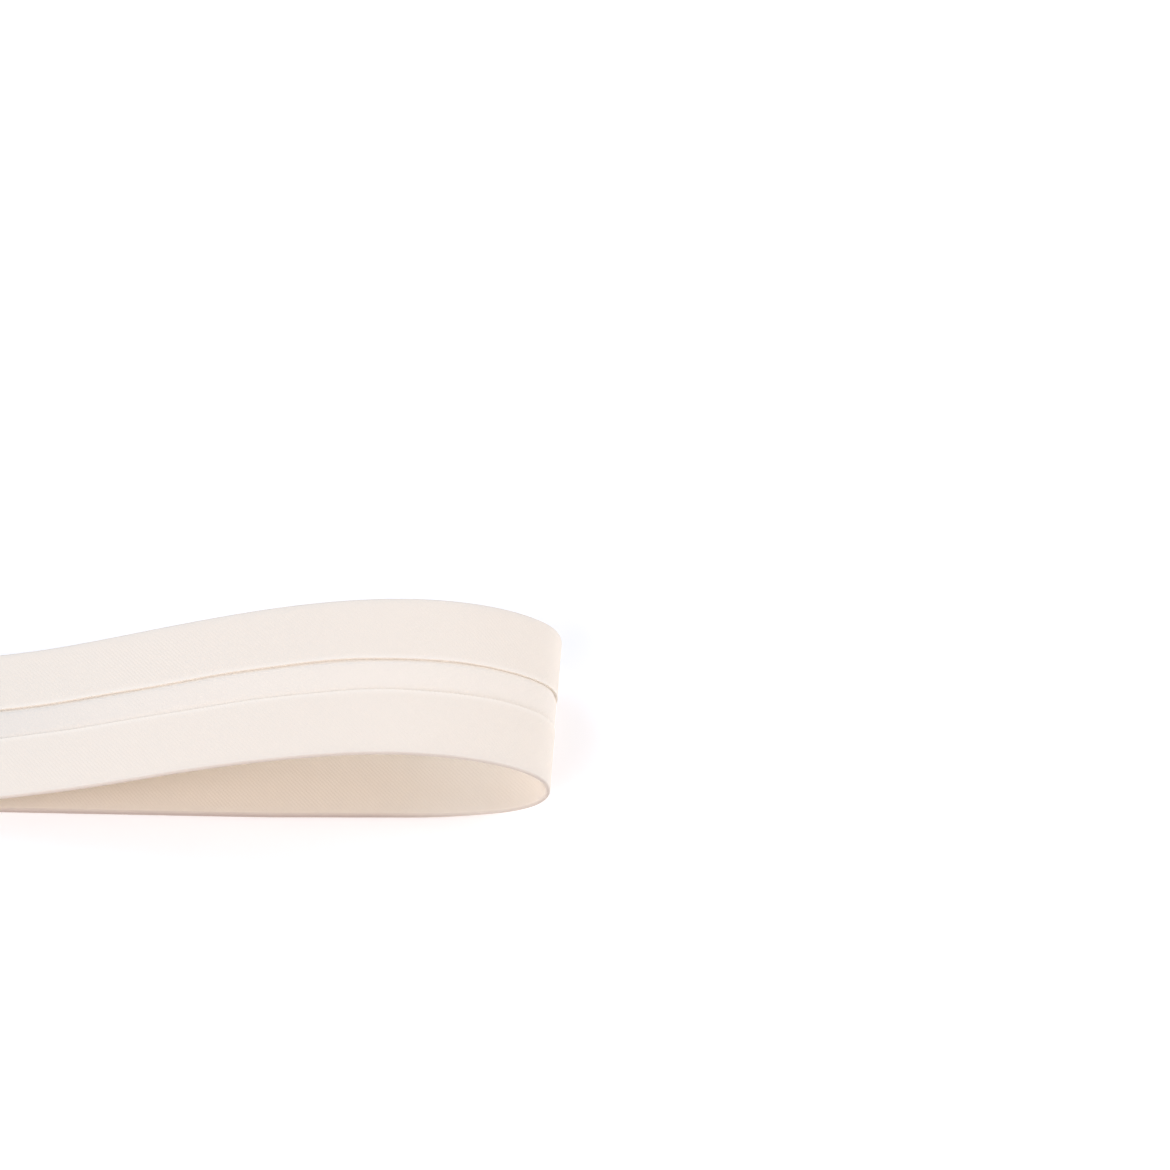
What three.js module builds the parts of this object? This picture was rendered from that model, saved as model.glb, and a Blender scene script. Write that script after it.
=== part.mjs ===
// A length of bias tape, folded back on itself so that it stands up in a soft loop.
// The tape is one strip of cloth: both long edges are pressed in to its back and leave a gap between them.
// The back of the tape faces out of the loop, and its plain face lines the loop.
// Millimetres, +Z up. The tape lies along X with the loop at +X, and its lower run rests flat at z = 0.
import * as THREE from "three";

// Sizes of the tape
const TAPE_WIDTH = 20; // finished width, between the two pressed folds
const FLAP_WIDTH = 8; // each pressed-in edge
const CLOTH = 1; // one layer of cloth
const LAYER_GAP = 0.2; // air between layers that lie on each other
const TAPE_THICKNESS = 2 * CLOTH + LAYER_GAP;

// Sizes of the folded length
const FOLD_LENGTH = 100; // from the cut end of the lower run to the tip of the loop
const UPPER_END = 4; // the upper run's cut end lies this far short of the lower one
const LOWER_STRAY = 1.5; // the lower run's cut end lies this far to the rear of the loop's line
const UPPER_RISE = 2 * TAPE_THICKNESS + LAYER_GAP; // back of the upper run where it lies on the lower one

// Mesh steps
const STEPS_PER_ROW = 4; // sections between two rows of the loop's table
const ARC_STEPS = 4; // facets round a pressed fold

// The back of the tape in side view: it lifts off the table, rounds the tip, crests and lies down again.
// behind: distance left of the tip. rise: height above the table.
// rearLead: how far the rear edge lies to the right of the front edge. rearRise: how far it lies above it.
const LOOP = [
  { behind: 24, rise: 0, rearLead: 0, rearRise: 0 },
  { behind: 16, rise: 0, rearLead: 0, rearRise: 0 },
  { behind: 12.5, rise: 0.2, rearLead: 0.2, rearRise: 0 },
  { behind: 8, rise: 0.9, rearLead: 0.5, rearRise: 0 },
  { behind: 3.4, rise: 2.2, rearLead: 0.9, rearRise: 0.1 },
  { behind: 0.9, rise: 3.8, rearLead: 1.1, rearRise: 0.2 },
  { behind: 0, rise: 5.9, rearLead: 1.2, rearRise: 0.3 },
  { behind: 0.6, rise: 8.7, rearLead: 1.2, rearRise: 0.6 },
  { behind: 2.5, rise: 10.9, rearLead: 1, rearRise: 0.8 },
  { behind: 8.5, rise: 13.8, rearLead: 0.7, rearRise: 1 },
  { behind: 18, rise: 15.2, rearLead: 0.5, rearRise: 0.9 },
  { behind: 28.5, rise: 14.2, rearLead: 0.3, rearRise: 0.8 },
  { behind: 40, rise: 11.4, rearLead: 0, rearRise: 0.4 },
  { behind: 52, rise: 7.7, rearLead: 0, rearRise: 0.1 },
  { behind: 61, rise: 5.2, rearLead: 0, rearRise: -0.3 },
  { behind: 68, rise: UPPER_RISE + 0.06, rearLead: 0, rearRise: 0 },
  { behind: 74, rise: UPPER_RISE, rearLead: 0, rearRise: 0 },
  { behind: 82, rise: UPPER_RISE, rearLead: 0, rearRise: 0 },
];

// Section across the tape: x runs from the front fold to the rear fold, y from the back of the tape inwards.
// Each flap lies on the ground layer with a thin slit between them, closed at the fold.
function tapeSection() {
  const foldRadius = TAPE_THICKNESS / 2;
  const slitRadius = LAYER_GAP / 2;
  const foldCentre = TAPE_WIDTH / 2 - foldRadius;
  const flapEdge = TAPE_WIDTH / 2 - FLAP_WIDTH;
  const down = -Math.PI / 2;
  const up = Math.PI / 2;
  const section = new THREE.Shape();
  section.moveTo(-flapEdge, 0);
  section.lineTo(-foldCentre, 0);
  section.absarc(-foldCentre, foldRadius, foldRadius, down, up, true);
  section.lineTo(foldCentre, TAPE_THICKNESS);
  section.absarc(foldCentre, foldRadius, foldRadius, up, down, true);
  section.lineTo(flapEdge, 0);
  section.lineTo(flapEdge, CLOTH);
  section.lineTo(foldCentre, CLOTH);
  section.absarc(foldCentre, foldRadius, slitRadius, down, up, false);
  section.lineTo(-foldCentre, CLOTH + LAYER_GAP);
  section.absarc(-foldCentre, foldRadius, slitRadius, up, up + Math.PI, false);
  section.lineTo(-flapEdge, CLOTH);
  section.closePath();
  return section;
}

// Line of one long edge of the tape through the loop. side is -1 for the front edge and 1 for the rear one.
function edgeLine(side) {
  const points = LOOP.map(({ behind, rise, rearLead, rearRise }) => {
    const x = FOLD_LENGTH / 2 - behind + (side * rearLead) / 2;
    const z = rise + (side * rearRise) / 2;
    return new THREE.Vector3(x, (side * TAPE_WIDTH) / 2, z);
  });
  return new THREE.CatmullRomCurve3(points, false, "centripetal");
}

// One station of an edge: its point on the back of the tape, and the direction into the tape's thickness.
function station(point, heading) {
  const inward = new THREE.Vector3(-heading.z, 0, heading.x).normalize();
  const onTable = point.clone().setZ(Math.max(0, point.z));
  return { point: onTable, inward };
}

// Stations along one edge, from the lower cut end round the loop to the upper cut end.
function edgeStations(side) {
  const line = edgeLine(side);
  const count = STEPS_PER_ROW * (LOOP.length - 1);
  const y = (side * TAPE_WIDTH) / 2;
  const right = new THREE.Vector3(1, 0, 0);
  const left = new THREE.Vector3(-1, 0, 0);
  const lowerEnd = new THREE.Vector3(-FOLD_LENGTH / 2, y + LOWER_STRAY, 0);
  const stations = [station(lowerEnd, right)];
  for (let i = STEPS_PER_ROW; i <= count - STEPS_PER_ROW; i += 1) {
    stations.push(station(line.getPoint(i / count), line.getTangent(i / count)));
  }
  const upperEnd = new THREE.Vector3(-FOLD_LENGTH / 2 + UPPER_END, y, UPPER_RISE);
  stations.push(station(upperEnd, left));
  // The runs beside the loop are flat, so the loop's first and last stations head along them.
  stations[1] = station(stations[1].point.setZ(0), right);
  stations[stations.length - 2] = station(stations[stations.length - 2].point.setZ(UPPER_RISE), left);
  return stations;
}

// The strip is extruded straight, one step for each station, and is then laid along the loop.
function layTape() {
  const front = edgeStations(-1);
  const rear = edgeStations(1);
  const steps = front.length - 1;
  const strip = new THREE.ExtrudeGeometry(tapeSection(), {
    depth: steps,
    steps,
    curveSegments: ARC_STEPS,
    bevelEnabled: false,
  });
  const places = strip.attributes.position;
  for (let i = 0; i < places.count; i += 1) {
    const step = Math.round(places.getZ(i));
    const share = places.getX(i) / TAPE_WIDTH + 0.5;
    const inward = front[step].inward.clone().lerp(rear[step].inward, share).normalize();
    const laid = front[step].point.clone().lerp(rear[step].point, share);
    laid.addScaledVector(inward, places.getY(i));
    places.setXYZ(i, laid.x, laid.y, laid.z);
  }
  strip.deleteAttribute("uv");
  strip.computeVertexNormals();
  return strip;
}

// The origin is the middle of the tape's box, on the table.
function centreOnTable(geometry) {
  geometry.computeBoundingBox();
  const middle = geometry.boundingBox.getCenter(new THREE.Vector3());
  return geometry.translate(-middle.x, -middle.y, -geometry.boundingBox.min.z);
}

const cotton = new THREE.MeshStandardMaterial({ color: 0xf4ece4, roughness: 0.9, metalness: 0 });
const tape = new THREE.Mesh(centreOnTable(layTape()), cotton);
tape.name = "tape";

const foldedTape = new THREE.Group();
foldedTape.name = "folded_bias_tape";
foldedTape.add(tape);

export default foldedTape;
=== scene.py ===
# %% [markdown]
# # A folded length of bias tape
# Bias tape is a narrow strip of cotton, cut at 45 degrees to its threads so that it can follow a curve.
# Both long edges are pressed in to the back, and a gap is left between them.
# This length is turned back on itself: it lies flat below and stands up in a soft loop at one end.
# The CAD model fixes where the tape lies and how large it is, so it is loaded first and never moved.

# %% Load the fixed frame
import math

import bpy
import numpy as np
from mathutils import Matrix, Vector


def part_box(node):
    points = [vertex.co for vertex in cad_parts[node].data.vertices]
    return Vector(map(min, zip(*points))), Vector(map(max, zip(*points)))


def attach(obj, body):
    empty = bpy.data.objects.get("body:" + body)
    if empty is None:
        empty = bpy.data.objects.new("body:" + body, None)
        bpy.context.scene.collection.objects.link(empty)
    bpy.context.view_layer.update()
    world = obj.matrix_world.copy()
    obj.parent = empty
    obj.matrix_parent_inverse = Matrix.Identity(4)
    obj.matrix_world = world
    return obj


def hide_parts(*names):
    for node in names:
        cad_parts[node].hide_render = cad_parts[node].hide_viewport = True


MM = 0.001
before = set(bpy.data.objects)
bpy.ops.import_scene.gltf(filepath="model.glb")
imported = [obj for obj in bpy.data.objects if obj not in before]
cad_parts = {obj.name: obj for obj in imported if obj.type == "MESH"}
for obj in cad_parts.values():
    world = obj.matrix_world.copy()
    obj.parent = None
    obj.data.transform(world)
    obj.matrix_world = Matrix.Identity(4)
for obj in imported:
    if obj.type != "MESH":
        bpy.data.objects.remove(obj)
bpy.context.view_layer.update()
tape_low, tape_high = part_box("tape")
tape_size = (tape_high - tape_low) / MM
print(f"CAD nodes: {len(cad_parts)}, tape {tape_size.x:.1f} mm long, loop {tape_size.z:.1f} mm high")


# %% [markdown]
# ## Camera
# The tape was seen from the front and from above, with the loop's tip just left of the picture's middle.
# A camera is placed by the point of the table that it looks at, by its height above the table in degrees,
# and by its distance. A longish lens keeps the two long edges nearly parallel.

# %% Place the camera
CAMERA_ELEVATION = math.radians(55)
CAMERA_DISTANCE = 278 * MM
CAMERA_LENS = 69.5
CAMERA_NEAREST = 10 * MM  # the camera draws nothing that is nearer
AIM_RIGHT_OF_TIP = 2.75 * MM
AIM_BEHIND_FRONT_EDGE = 32.75 * MM

aim = Vector((tape_high.x + AIM_RIGHT_OF_TIP, tape_low.y + AIM_BEHIND_FRONT_EDGE, 0))
towards_camera = Vector((0, -math.cos(CAMERA_ELEVATION), math.sin(CAMERA_ELEVATION)))
bpy.ops.object.camera_add(
    location=aim + CAMERA_DISTANCE * towards_camera,
    rotation=(math.pi / 2 - CAMERA_ELEVATION, 0, 0),
)
camera = bpy.context.object
camera.name = "tape_camera"
camera.data.lens = CAMERA_LENS
camera.data.clip_start = CAMERA_NEAREST
bpy.context.scene.camera = camera
print(f"camera {CAMERA_DISTANCE / MM:.0f} mm from its aim {[round(v / MM, 1) for v in aim]} mm")


# %% [markdown]
# ## The loop in side view
# Seen from the side, the back of the tape leaves the table, rounds a tight tip, rises to a crest and comes
# down again on the lower run. A cloth simulation could find such a line, but not this very one, so a short
# table holds it: one row for each place where the bend changes. The rear edge of the tape runs a little
# further round the tip, and a little higher, than the front edge.

# %% Side view of the loop
# Millimetres. behind: left of the tip. rise: the tape's back above the table.
# lead and lift: how far the rear edge lies to the right of the front edge, and above it.
LOOP_COLUMNS = ("behind", "rise", "lead", "lift")
LOOP_ROWS = [
    (100.0, 0.0, 0.0, 0.0),
    (70.0, 0.0, 0.0, 0.0),
    (40.0, 0.0, 0.0, 0.0),
    (24.0, 0.0, 0.0, 0.0),
    (16.0, 0.0, 0.0, 0.0),
    (12.5, 0.2, 0.2, 0.0),
    (8.0, 0.8, 0.5, 0.0),
    (3.4, 2.0, 0.9, 0.1),
    (0.9, 3.8, 1.1, 0.2),
    (0.0, 5.9, 1.2, 0.3),
    (0.6, 8.9, 1.2, 0.6),
    (2.5, 10.9, 1.0, 0.8),
    (8.5, 13.8, 0.7, 1.0),
    (18.0, 15.2, 0.5, 0.9),
    (28.5, 14.2, 0.3, 0.8),
    (40.0, 11.4, 0.0, 0.4),
    (52.0, 7.6, 0.0, 0.1),
    (61.0, 5.1, 0.0, -0.4),
    (72.0, 3.05, 0.0, -0.2),
    (84.0, 1.85, 0.0, 0.0),
    (96.0, 1.45, 0.0, 0.0),
]
LOOP = {name: np.array(values) for name, values in zip(LOOP_COLUMNS, zip(*LOOP_ROWS))}
print(f"side view with {len(LOOP_ROWS)} rows")


# %% [markdown]
# ## A smooth line through the rows
# Springy cloth bends without corners. A natural cubic spline does the same: it goes through every row, and
# its bend changes evenly from one row to the next. A Bezier curve could go through the rows too, but its
# bend would jump at each of them, so the spline is worked out here, once for each long edge of the tape.

# %% Lines of the two long edges
LINE_STEP = 0.1  # mm between points when the spline is drawn


def spline(knots, values, places):
    """A natural cubic spline through values at knots, read at places."""
    gaps = np.diff(knots)
    slopes = np.diff(values) / gaps
    count = len(knots)
    system = np.eye(count)
    bends = np.zeros(count)
    for i in range(1, count - 1):
        system[i, i - 1 : i + 2] = gaps[i - 1], 2 * (gaps[i - 1] + gaps[i]), gaps[i]
        bends[i] = 6 * (slopes[i] - slopes[i - 1])
    bends = np.linalg.solve(system, bends)
    i = np.clip(np.searchsorted(knots, places) - 1, 0, count - 2)
    gap = gaps[i]
    after = (places - knots[i]) / gap
    before = 1 - after
    curve = (before**3 - before) * bends[i] + (after**3 - after) * bends[i + 1]
    return before * values[i] + after * values[i + 1] + curve * gap**2 / 6


def edge_line(side):
    """Points (x, z) of one long edge in mm, side -1 for the front and 1 for the rear, closely spaced."""
    tip = tape_high.x / MM - LOOP["lead"].max() / 2
    x = tip - LOOP["behind"] + side * LOOP["lead"] / 2
    z = LOOP["rise"] + side * LOOP["lift"] / 2
    knots = np.concatenate([[0], np.cumsum(np.hypot(np.diff(x), np.diff(z)))])
    places = np.linspace(0, knots[-1], round(knots[-1] / LINE_STEP) + 1)
    return np.column_stack([spline(knots, x, places), np.maximum(0, spline(knots, z, places))])


def line_length(line):
    return np.linalg.norm(np.diff(line, axis=0), axis=1).sum()


front_line = edge_line(-1)
rear_line = edge_line(1)
tape_length = (line_length(front_line) + line_length(rear_line)) / 2
print(f"tape length {tape_length:.1f} mm, crest {rear_line[:, 1].max():.2f} mm")


# %% [markdown]
# ## Cut the strip
# The maker cuts a long strip of cloth and presses its edges in. We start in the same way, with a flat grid
# of the cut's size. Half of the cut has four stretches: half the gap, the ground under a flap, the fold and
# the flap. The fold gets the narrowest columns, because a sharp bend needs more faces than a flat stretch.

# %% Stretches of the cut
CLOTH = 0.25  # mm, one layer
AIR = 0.3  # mm inside a pressed fold that lies on the table, where it springs open
CUT_WIDTH = 36.0
TAPE_WIDTH = 20.0

FOLD_RADIUS = (CLOTH + AIR) / 2
FOLD_ARC = math.pi * FOLD_RADIUS
FOLD_START = TAPE_WIDTH / 2 - FOLD_RADIUS - CLOTH / 2  # from the cut's middle line
FLAP_LENGTH = CUT_WIDTH / 2 - FOLD_START - FOLD_ARC
HALF_GAP = FOLD_START - FLAP_LENGTH

# From the middle line outwards: how wide each stretch is in mm, and how many columns it gets.
STRETCHES = {
    "half the gap": (HALF_GAP, 8),
    "ground under a flap": (FLAP_LENGTH, 9),
    "fold": (FOLD_ARC, 8),
    "flap": (FLAP_LENGTH, 11),
}
stretch_ends = np.cumsum([0, *(width for width, columns in STRETCHES.values())])
stretch_columns = np.cumsum([0, *(columns for width, columns in STRETCHES.values())])
half_columns = int(stretch_columns[-1])
print(f"half of the cut: {stretch_ends[-1]:.1f} mm in {half_columns} columns")


# %% [markdown]
# ## Lay the grid out flat
# A grid primitive has all the faces that the strip needs, in even columns and rows. Each point is told which
# place of the flat cut it is: how far from the middle line, and how far along. Those flat places are kept as
# a UV map in metres, so that the weave later follows the cloth round every fold.

# %% Flat cut with its UV map
ROW_STEP = 0.6  # mm between cross rows

row_count = round(tape_length / ROW_STEP)
bpy.ops.object.select_all(action="DESELECT")
bpy.ops.mesh.primitive_grid_add(
    x_subdivisions=2 * half_columns, y_subdivisions=row_count, size=1, calc_uvs=True
)
tape = bpy.context.object
tape.name = "tape_cloth"
cloth_mesh = tape.data
grid = np.empty(3 * len(cloth_mesh.vertices))
cloth_mesh.vertices.foreach_get("co", grid)
grid = grid.reshape(-1, 3)
column = np.round(grid[:, 0] * 2 * half_columns)
row = np.round((grid[:, 1] + 0.5) * row_count).astype(int)
cut = np.sign(column) * np.interp(np.abs(column), stretch_columns, stretch_ends)
along = row * tape_length / row_count

loop_vertex = np.empty(len(cloth_mesh.loops), int)
cloth_mesh.loops.foreach_get("vertex_index", loop_vertex)
flat_places = np.column_stack([cut, along])[loop_vertex] * MM
cloth_mesh.uv_layers[0].name = "cloth"
cloth_mesh.uv_layers["cloth"].data.foreach_set("uv", flat_places.ravel())
print(f"cut {CUT_WIDTH:.0f} by {tape_length:.0f} mm, {len(cloth_mesh.polygons)} faces")


# %% [markdown]
# ## Press the edges in
# An iron turns each long edge over and presses it. Across the tape, the middle of the cut is the ground,
# then comes a tight half turn, and the rest lies back on the ground as a flap. A simulation could fold the
# cloth, but hardly as evenly as an iron does, so each fold is worked out as half a circle. On the table the
# folds spring open a little. Round the loop the bend pulls them tight, and the cloth that this frees goes
# into the ground and the flap on either side.

# %% Press the folds
LOOP_AIR = 0.04  # mm inside a fold round the loop
TIGHT_START = 80.0  # mm from the lower cut end to where the folds begin to tighten
TIGHT_END = 96.0  # and to where they are tight


def smooth_step(values, low, high):
    """From 0 to 1 as the values go from low to high, without corners."""
    share = np.clip((values - low) / (high - low), 0, 1)
    return share * share * (3 - 2 * share)


side = np.sign(cut)
reach = np.abs(cut)
air = AIR + (LOOP_AIR - AIR) * smooth_step(along, TIGHT_START, TIGHT_END)
radius = (CLOTH + air) / 2
slack = FOLD_RADIUS - radius
turn = np.clip((reach - FOLD_START) / FOLD_ARC, 0, 1) * np.pi
flap_share = np.maximum(0, reach - FOLD_START - FOLD_ARC) / FLAP_LENGTH
ground = np.minimum(reach, FOLD_START) * (1 + slack / FOLD_START)
from_middle = ground + radius * np.sin(turn) - flap_share * (FLAP_LENGTH + slack)
depth = CLOTH / 2 + radius * (1 + np.cos(turn))  # under the tape's back
print(f"folds {2 * CLOTH + AIR:.2f} mm thick on the table, {2 * CLOTH + LOOP_AIR:.2f} mm round the loop")


# %% [markdown]
# ## Let the cloth settle
# Pressed cloth isn't exact. The flaps settle on the ground beside their folds, their cut edges wander and
# lift a little, and the ground stands out slightly in the gap. Random noise could do that, but a few sine
# waves with lengths of their own are smoother, and they give the same tape each time.

# %% Flaps, gap and cut edges
FLAP_SETTLE = 0.6  # share of a flap's width over which it settles on the ground
FLAP_AIR = 0.03  # mm that stay between a settled flap and the ground
GAP_RISE = 0.2  # mm that the ground stands out in the gap
RISE_SLOPE = 0.35  # share of half the gap over which it rises
FLAP_WANDER = 0.1  # mm that a flap's cut edge strays
LONG_WANDER = 37.0  # mm, lengths of the two waves that it follows
SHORT_WANDER = 14.3
LONG_SHARE = 0.6  # the long wave's share of the two
FLAP_LIFT = 0.02  # mm that a flap's cut edge stands off the ground, where the tape is free
LIFT_WAVE = 23.0  # mm, length of the wave in that lift
LIFT_VARIES = 0.3  # share of the lift that comes and goes with it
FREE_START = 0.44  # shares of the tape's length between which it comes free of the table
FREE_END = 0.5
FLAP_SHIFT = 0.2  # share of a wave that each flap is out of step, one forward and one back


def wave(places, length, shift):
    return np.sin(2 * np.pi * (places / length + shift))


shift = FLAP_SHIFT * side
long_wander = LONG_SHARE * wave(along, LONG_WANDER, shift)
short_wander = (1 - LONG_SHARE) * wave(along, SHORT_WANDER, 3 * shift)
across = side * (from_middle - flap_share * FLAP_WANDER * (long_wander + short_wander))
settle = (air - FLAP_AIR) * smooth_step(flap_share, 0, FLAP_SETTLE)
gap_rise = GAP_RISE * smooth_step(1 - reach / HALF_GAP, 0, RISE_SLOPE)
free = smooth_step(along, tape_length * FREE_START, tape_length * FREE_END)
lift = FLAP_LIFT * (1 + LIFT_VARIES * wave(along, LIFT_WAVE, 2 * shift)) * free
depth = depth + settle - lift * flap_share**3 - gap_rise
print(f"pressed to {np.ptp(across) + CLOTH:.2f} mm wide, gap {2 * HALF_GAP:.2f} mm")


# %% [markdown]
# ## Lay the tape in its loop
# Each cross row of the pressed strip now goes to its place along the side view. A row is a straight line
# from the front edge to the rear edge, and the depth under the tape's back is measured square to the bend.
# A Curve modifier could bend the strip too, but not with a front edge and a rear edge that differ.
# The lower run lies slightly askew: its cut end has strayed to the rear.

# %% Lay the tape along the loop
LOWER_SKEW = 68.0  # mm of the lower run that lie askew, from its cut end
LOWER_STRAY = 1.5  # mm that the lower cut end lies to the rear


def stations(line):
    """Points of a side line, one for each cross row of the strip, and the directions into the tape there."""
    steps = np.linalg.norm(np.diff(line, axis=0), axis=1)
    run = np.concatenate([[0], np.cumsum(steps)])
    places = np.linspace(0, run[-1], row_count + 1)
    points = np.column_stack([np.interp(places, run, line[:, i]) for i in range(2)])
    heading = np.gradient(points, axis=0)
    heading /= np.linalg.norm(heading, axis=1, keepdims=True)
    return points, np.column_stack([-heading[:, 1], heading[:, 0]])


front_points, front_inward = stations(front_line)
rear_points, rear_inward = stations(rear_line)
rear_share = (across / TAPE_WIDTH + 0.5)[:, None]
side_view = front_points[row] * (1 - rear_share) + rear_points[row] * rear_share
inward = front_inward[row] * (1 - rear_share) + rear_inward[row] * rear_share
side_view = side_view + inward * depth[:, None]
middle_y = tape_low.y / MM + TAPE_WIDTH / 2 + np.interp(along, [0, LOWER_SKEW], [LOWER_STRAY, 0])
laid = np.column_stack([side_view[:, 0], across + middle_y, side_view[:, 1]]) * MM
cloth_mesh.vertices.foreach_set("co", laid.ravel())
cloth_mesh.update()
print(f"laid from x {laid[:, 0].min() / MM:.1f} to {laid[:, 0].max() / MM:.1f} mm")


# %% [markdown]
# ## Cotton
# The cloth is a fine plain weave in unbleached cream. Because it is cut on the bias, its threads cross the
# tape at 45 degrees. The weave is far too fine to model, so the shader raises it as bump from the UV map.
# A small class wraps a node's socket, so that the pattern can be written as sums and products.

# %% A socket that does maths
class Socket:
    """One output of a shader node. Sums and products of sockets add Math nodes."""

    def __init__(self, tree, output):
        self.tree = tree
        self.output = output

    def node(self, kind, settings, inputs, output=0):
        """Adds a node of a kind, sets it up, then fills or links its inputs. Returns one of its outputs."""
        made = self.tree.nodes.new(kind)
        for name, value in settings.items():
            setattr(made, name, value)
        for key, value in inputs.items():
            if isinstance(value, Socket):
                self.tree.links.new(value.output, made.inputs[key])
            else:
                made.inputs[key].default_value = value
        return Socket(self.tree, made.outputs[output])

    def maths(self, operation, *values):
        return self.node("ShaderNodeMath", {"operation": operation}, dict(enumerate(values)))

    def sine(self):
        return self.maths("SINE", self)

    def size(self):
        return self.maths("ABSOLUTE", self)

    def between(self, low, high):
        return self.maths("MINIMUM", self.maths("MAXIMUM", self, low), high)

    def blend(self, colour, other, way="MIX"):
        """A colour, changed by another one as far as this value goes from 0 to 1."""
        settings = {"data_type": "RGBA", "blend_type": way}
        return self.node("ShaderNodeMix", settings, {"Factor": self, "A": colour, "B": other}, output=2)

    def __add__(self, other):
        return self.maths("ADD", self, other)

    __radd__ = __add__

    def __sub__(self, other):
        return self.maths("SUBTRACT", self, other)

    def __rsub__(self, other):
        return self.maths("SUBTRACT", other, self)

    def __mul__(self, other):
        return self.maths("MULTIPLY", self, other)

    __rmul__ = __mul__


print("socket maths ready")


# %% [markdown]
# ## The weave
# In a plain weave each thread goes over one crossing thread and under the next. The product of two sines
# tells which of the two is on top, and each thread is a rounded ridge. Slow noise along the threads gives
# the thick and thin places of spun cotton.

# %% Plain weave on the bias
THREAD = 0.34 * MM  # pitch of the weave
SLUB_ACROSS = 0.3  # how fast the noise changes from thread to thread
SLUB_ALONG = 0.012  # and along a thread, where thick and thin places are long
SLUB_NOISE = {"Scale": 1.0, "Detail": 2.0, "Roughness": 0.5}


def slubs(thread, crossing):
    """Thick and thin places along the threads of one direction."""
    places = {"X": thread * SLUB_ACROSS, "Y": crossing * SLUB_ALONG}
    place = thread.node("ShaderNodeCombineXYZ", {}, places)
    return thread.node("ShaderNodeTexNoise", {}, {"Vector": place, **SLUB_NOISE})


def weave(across_cut, along_cut):
    """The weave's height, and the tone of whichever thread is on top."""
    turn = math.pi / (THREAD * math.sqrt(2))
    warp = (across_cut + along_cut) * turn
    weft = (across_cut - along_cut) * turn
    warp_wave = warp.sine()
    weft_wave = weft.sine()
    warp_on_top = warp_wave * weft_wave * 0.5 + 0.5
    weft_on_top = 1 - warp_on_top
    relief = warp_wave * warp_wave * warp_on_top + weft_wave * weft_wave * weft_on_top
    thread_tone = slubs(warp, weft) * warp_on_top + slubs(weft, warp) * weft_on_top
    return relief, thread_tone


print(f"weave of {10 * MM / THREAD:.0f} threads to the centimetre")


# %% [markdown]
# ## Where the cream changes
# The pressed folds get painted shade, and the folds that lie on the table a darker painted contact shadow.
# The ground gets a cooler painted shade where it shows in the gap, and the lining gets painted warm bounce
# light as far as it lies on the table. Painting that by hand would also work, but each place is known from
# the flat cut, so masks from the UV map put every shade where it belongs.

# %% Masks on the cut
TABLE_END = 92 * MM  # from the lower cut end to where the tape has left the table
TABLE_BLUR = 12 * MM  # over this length a shade fades out
EDGE_BLUR = 0.6 * MM  # the cut edges are denser over this width
FOLD_MIDDLE = (FOLD_START + FOLD_ARC / 2) * MM
HALF_FOLD = FOLD_ARC / 2 * MM


def fold_masks(reach):
    """1 on the pressed folds, and 1 on the ground between them."""
    from_fold = (reach - FOLD_MIDDLE) * (1 / HALF_FOLD)
    on_fold = (1 - from_fold * from_fold).between(0, 1)
    on_ground = (0.5 - from_fold * 0.5).between(0, 1)
    return on_fold, on_ground


def edge_mask(reach):
    """1 on the cut edges of the flaps."""
    return (1 - (CUT_WIDTH / 2 * MM - reach) * (1 / EDGE_BLUR)).between(0, 1)


def until(end, along_cut):
    """1 along the tape, fading out before an end."""
    return ((end - along_cut) * (1 / TABLE_BLUR)).between(0, 1)


print(f"folds {2 * HALF_FOLD / MM:.2f} mm wide in the flat cut")


# %% [markdown]
# ## The cotton itself
# Cotton is matt, so the shader is rough, with hardly any shine. A broad mottle keeps the cream from being
# flat. Thin cloth also lets light through, warmer than it came, so a Translucent shader is mixed in: less of
# it at the cut edges, and none on the folds. Each side of the cloth gets its own material.

# %% Cotton material
CREAM_LOW = (0.967, 0.91, 0.82, 1)
CREAM_HIGH = (0.987, 0.94, 0.85, 1)
GAP_PAINTED_SHADE = (0.93, 0.952, 0.98, 1)  # painted shade, cooler, on the ground where it shows in the gap
LINING_PAINTED_BOUNCE = (1.01, 0.973, 0.937, 1)  # painted warm bounce light on the lining on the table
FOLD_PAINTED_SHADE = (0.61, 0.56, 0.54, 1)  # painted shade on the pressed folds
CONTACT_PAINTED_SHADOW = (0.76, 0.72, 0.74, 1)  # on top of that, painted contact shadow on the folds that lie on the table
MOTTLE_NOISE = {"Scale": 110.0, "Detail": 3.0, "Roughness": 0.6}
RELIEF_TONE = 0.15  # how much the weave, its threads and the mottle change the cream
THREAD_TONE = 0.5
MOTTLE_TONE = 0.5
WEAVE_RELIEF = 0.06 * MM
RELIEF_STRENGTH = 0.4
RELIEF_HEIGHT = 0.7  # how much the weave and its threads raise the bump
THREAD_HEIGHT = 0.6
COTTON_ROUGHNESS = 0.9
COTTON_SHINE = 0.2
THROUGH_SHARE = 0.3  # how much of the light goes into the cloth
THROUGH_LIGHT = (1.0, 0.88, 0.74, 1)  # the warm light that comes through
EDGE_DENSITY = 0.3  # how much less comes through at the cut edges


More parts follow.
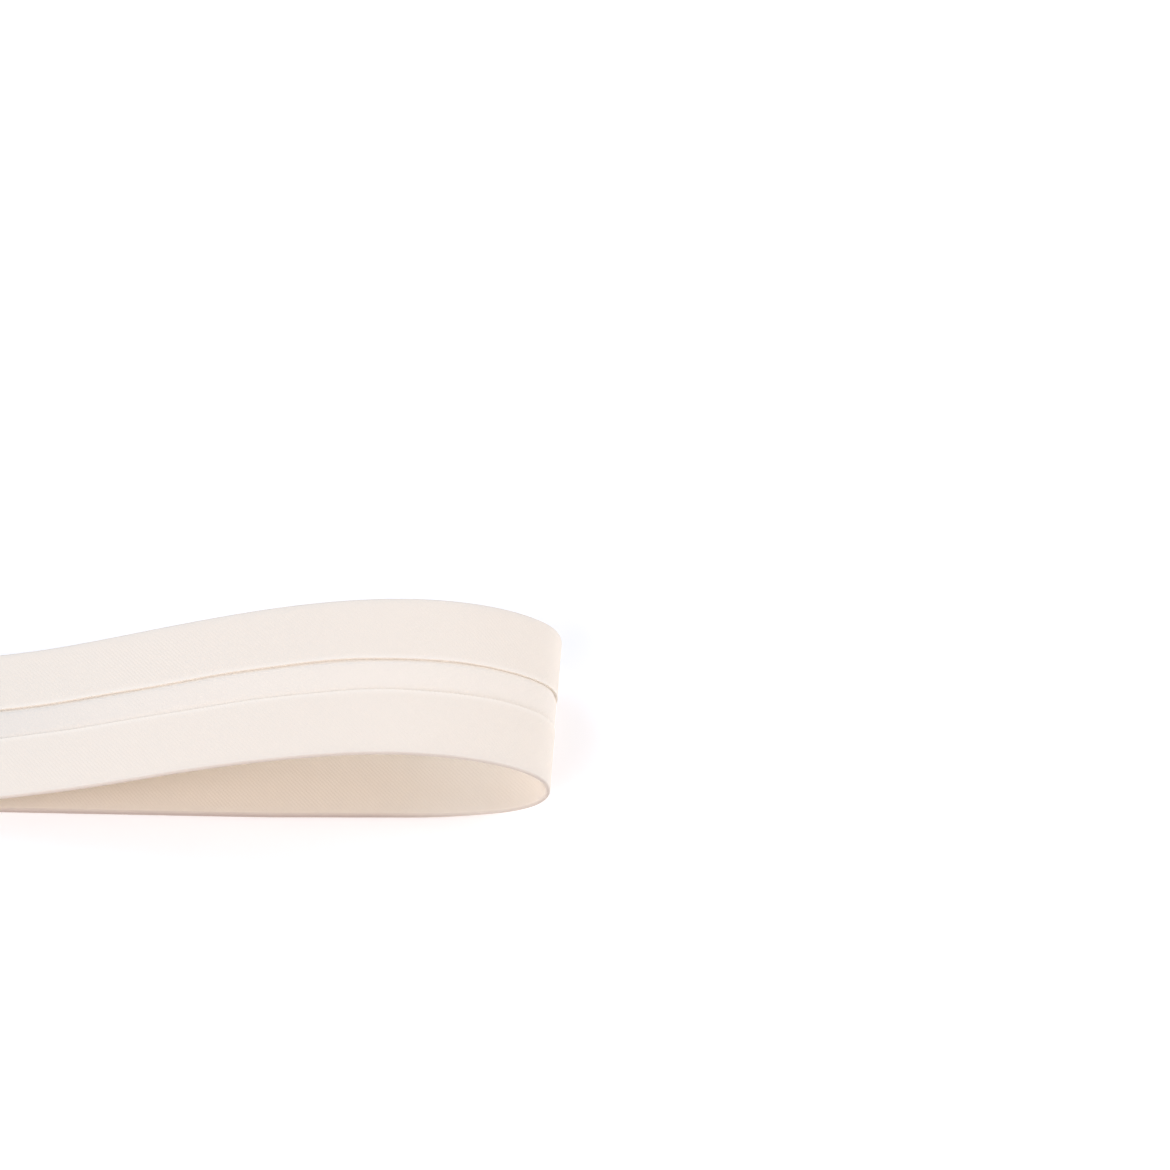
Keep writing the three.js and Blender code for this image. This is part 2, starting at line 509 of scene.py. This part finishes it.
def cotton_material(name, painted_ground_tint, tint_end):
    """Cotton for one side of the cloth. Its ground gets a painted tint as far as an end along the tape:
    painted shade in the gap on the back, painted warm bounce light on the lining.
    """
    material = bpy.data.materials.new(name)
    material.use_nodes = True
    tree = material.node_tree
    shader = tree.nodes["Principled BSDF"]
    start = Socket(tree, None)
    uv = start.node("ShaderNodeUVMap", {"uv_map": "cloth"}, {})
    across_cut = start.node("ShaderNodeSeparateXYZ", {}, {"Vector": uv})
    along_cut = Socket(tree, across_cut.output.node.outputs["Y"])
    relief, thread_tone = weave(across_cut, along_cut)
    mottle = start.node("ShaderNodeTexNoise", {}, {"Vector": uv, **MOTTLE_NOISE})
    tone = relief * RELIEF_TONE + thread_tone * THREAD_TONE + mottle * MOTTLE_TONE
    reach = across_cut.size()
    on_fold, on_ground = fold_masks(reach)
    cream = tone.blend(CREAM_LOW, CREAM_HIGH)
    # painted shade on the ground in the gap on the back, painted warm bounce light on the lining on the face
    cream = (on_ground * until(tint_end, along_cut)).blend(cream, painted_ground_tint, "MULTIPLY")
    # painted shade on the pressed folds
    cream = on_fold.blend(cream, FOLD_PAINTED_SHADE, "MULTIPLY")
    # painted contact shadow on the folds that lie on the table
    cream = (on_fold * until(TABLE_END, along_cut)).blend(cream, CONTACT_PAINTED_SHADOW, "MULTIPLY")
    height = relief * RELIEF_HEIGHT + thread_tone * THREAD_HEIGHT
    raised = {"Strength": RELIEF_STRENGTH, "Distance": WEAVE_RELIEF, "Height": height}
    bump = start.node("ShaderNodeBump", {}, raised)
    tree.links.new(cream.output, shader.inputs["Base Color"])
    tree.links.new(bump.output, shader.inputs["Normal"])
    shader.inputs["Roughness"].default_value = COTTON_ROUGHNESS
    shader.inputs["Specular IOR Level"].default_value = COTTON_SHINE
    plain = Socket(tree, shader.outputs["BSDF"])
    glow = start.node("ShaderNodeBsdfTranslucent", {}, {"Color": THROUGH_LIGHT, "Normal": bump})
    through = THROUGH_SHARE * (1 - on_fold) * (1 - edge_mask(reach) * EDGE_DENSITY)
    surface = start.node("ShaderNodeMixShader", {}, {0: through, 1: plain, 2: glow})
    tree.links.new(surface.output, tree.nodes["Material Output"].inputs["Surface"])
    return material


whole_tape = tape_length * MM + TABLE_BLUR  # so far on that the painted gap shade doesn't fade on the tape
tape.data.materials.clear()
tape.data.materials.append(cotton_material("cotton_back", GAP_PAINTED_SHADE, whole_tape))
tape.data.materials.append(cotton_material("cotton_face", LINING_PAINTED_BOUNCE, TABLE_END))
print(f"{len(tape.data.materials)} sides of cotton")


# %% [markdown]
# ## Give the cloth its thickness
# So far the cloth is a surface without thickness. Solidify moves a copy of it to each side and closes the
# rim, which makes the cut edges real: they catch light and cast the fine shadow line along the rear flap.
# Extruding the faces by hand would do the same, but less evenly round the folds.
# The material offset gives the second side the second cotton.

# %% Thickness and shading
SMOOTH_ANGLE = math.radians(50)  # edges that bend more than this stay sharp

bpy.ops.object.modifier_add(type="SOLIDIFY")
solidify = tape.modifiers[-1]
solidify.thickness = CLOTH * MM
solidify.offset = 0
solidify.use_even_offset = True
solidify.material_offset = 1
bpy.ops.object.modifier_apply(modifier=solidify.name)
bpy.ops.object.shade_smooth_by_angle(angle=SMOOTH_ANGLE)
lowest = min(vertex.co.z for vertex in tape.data.vertices)
print(f"cloth piece: {len(tape.data.polygons)} faces, lowest point {lowest / MM:.3f} mm")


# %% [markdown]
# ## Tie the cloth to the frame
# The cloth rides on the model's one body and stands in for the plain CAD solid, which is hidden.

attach(tape, "root")
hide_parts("tape")


# %% [markdown]
# ## Studio floor
# The tape lies on a white table that shows only the darkest part of a shadow. A plain white plane would show
# all of it, so the floor also glows a little by itself, as a light table does. It lies a hair below the
# cloth, so that some light gets in underneath.

# %% Floor
FLOOR_SIZE = 6.0
FLOOR_DROP = 0.2 * MM
FLOOR_WHITE = (0.8, 0.8, 0.795, 1)
FLOOR_ROUGHNESS = 0.8
FLOOR_SHINE = 0.1
FLOOR_GLOW = (1.0, 0.92, 0.91, 1)
GLOW_STRENGTH = 0.292

bpy.ops.object.select_all(action="DESELECT")
bpy.ops.mesh.primitive_plane_add(size=FLOOR_SIZE, location=(0, 0, tape_low.z - FLOOR_DROP))
floor = bpy.context.object
floor.name = "floor"
white = bpy.data.materials.new("white_floor")
white.use_nodes = True
paint = white.node_tree.nodes["Principled BSDF"]
paint.inputs["Base Color"].default_value = FLOOR_WHITE
paint.inputs["Roughness"].default_value = FLOOR_ROUGHNESS
paint.inputs["Specular IOR Level"].default_value = FLOOR_SHINE
paint.inputs["Emission Color"].default_value = FLOOR_GLOW
paint.inputs["Emission Strength"].default_value = GLOW_STRENGTH
floor.data.materials.append(white)
print(f"floor {FLOOR_DROP / MM:.1f} mm under the tape")


# %% [markdown]
# ## Studio light
# White surroundings give the even light of a product picture. Three large soft lamps are added, because even
# light alone would leave the loop flat: a cool one behind, a slightly warm one in front and one at the right,
# which make the slopes of the loop a little brighter than its crest.

# %% Lamps and surroundings
SURROUND_STRENGTH = 0.33
SURROUND_COLOUR = (1.0, 1.0, 1.0, 1)
LAMP_SIZE = 0.5
LAMPS = {  # where each lamp stands in metres, its power in watts and its colour
    "rear_lamp": (Vector((-0.45, 0.5, 0.4)), 2.3, (0.74, 1.0, 1.3)),
    "front_lamp": (Vector((-0.33, -0.4, 0.37)), 3.0, (1.08, 1.0, 1.04)),
    "right_lamp": (Vector((0.5, 0.1, 0.3)), 2.35, (1.0, 1.01, 1.11)),
}

for name, (place, power, colour) in LAMPS.items():
    bpy.ops.object.light_add(type="AREA", location=place)
    lamp = bpy.context.object
    lamp.name = name
    lamp.data.size = LAMP_SIZE
    lamp.data.energy = power
    lamp.data.color = colour
    lamp.rotation_euler = (-place).to_track_quat("-Z", "Y").to_euler()

world = bpy.data.worlds.new("studio")
world.use_nodes = True
world.node_tree.nodes["Background"].inputs["Color"].default_value = SURROUND_COLOUR
world.node_tree.nodes["Background"].inputs["Strength"].default_value = SURROUND_STRENGTH
bpy.context.scene.world = world
bpy.context.scene.view_settings.view_transform = "Standard"
print(f"studio with {len(LAMPS)} lamps")
